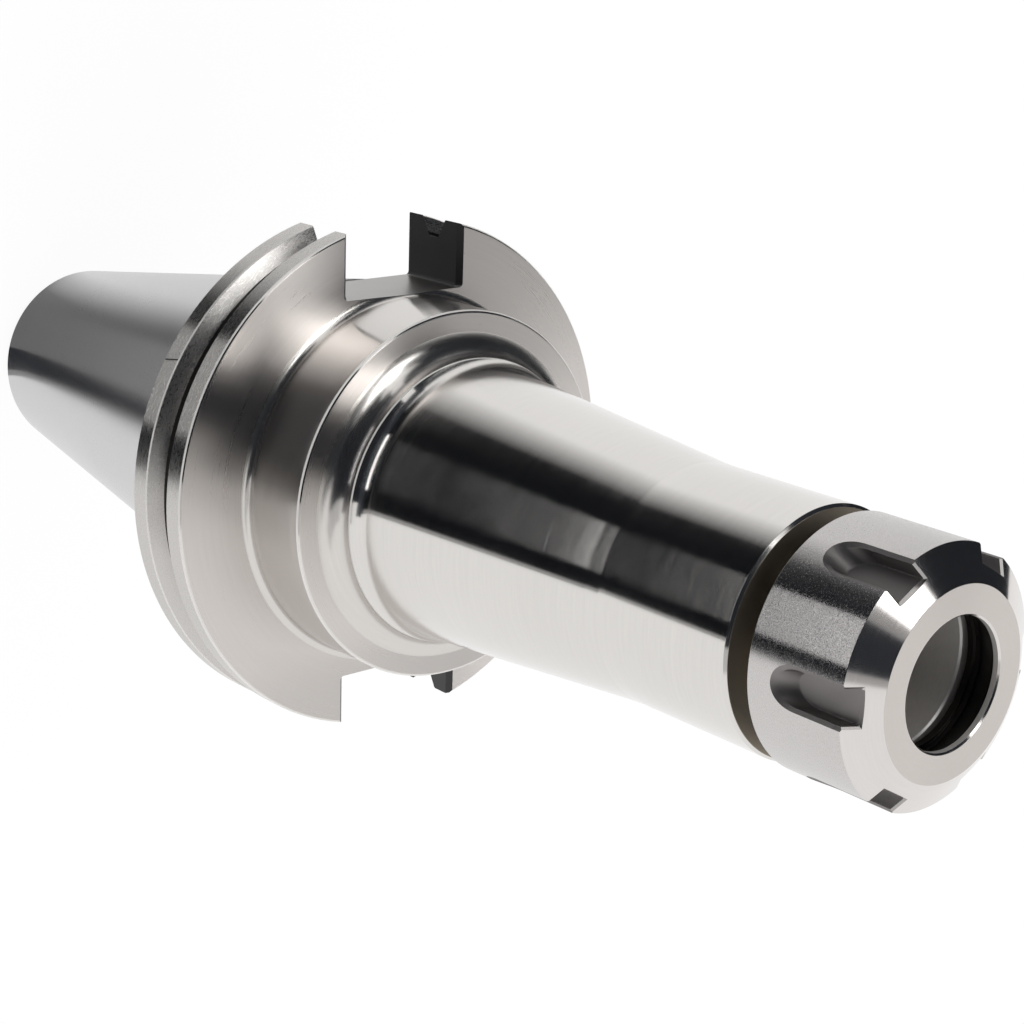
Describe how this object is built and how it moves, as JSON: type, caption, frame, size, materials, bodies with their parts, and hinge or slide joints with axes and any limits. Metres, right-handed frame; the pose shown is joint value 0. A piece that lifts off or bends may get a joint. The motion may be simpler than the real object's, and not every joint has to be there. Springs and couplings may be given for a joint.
{
  "type": "collet chuck holder",
  "caption": "Steep-taper V-flange holder with a tapered neck, threaded nose and slotted clamping nut for spring collets.",
  "frame": {"origin": "centre of the taper at its gauge line", "axes": "+Z along the axis towards the nose; the two drive slots open towards +Y and -Y"},
  "size_m": [0.0984, 0.095, 0.254],
  "materials": {
    "holder_steel": "ground taper and flange, fine-turned and polished hub and neck",
    "nut_steel": "satin turned",
    "ring_black": "black oxide",
    "wire_steel": "drawn spring wire",
    "screw_steel": "black oxide"
  },
  "bodies": {
    "holder": {"holder_body": "holder_steel"},
    "ring": {"bearing_ring": "ring_black"},
    "nut": {"clamping_nut": "nut_steel", "retaining_wire": "wire_steel"},
    "stop": {"stop_screw": "screw_steel"}
  },
  "joints": [
    {"name": "nut_advance", "type": "slide", "parent": "holder", "child": "ring", "axis": [0, 0, 1], "range_m": [-0.00105, 0.0105]},
    {"name": "nut_turn", "type": "hinge", "parent": "ring", "child": "nut", "pos_m": [0, 0, 0.14], "axis": [0, 0, 1], "range_deg": [-252, 2520]},
    {"name": "stop_screw_travel", "type": "slide", "parent": "holder", "child": "stop", "axis": [0, 0, 1], "range_m": [-0.0085, 0.0085]}
  ],
  "couplings": [
    {"joint": "nut_advance", "follows": "nut_turn", "m_per_rad": 0.00023873}
  ]
}
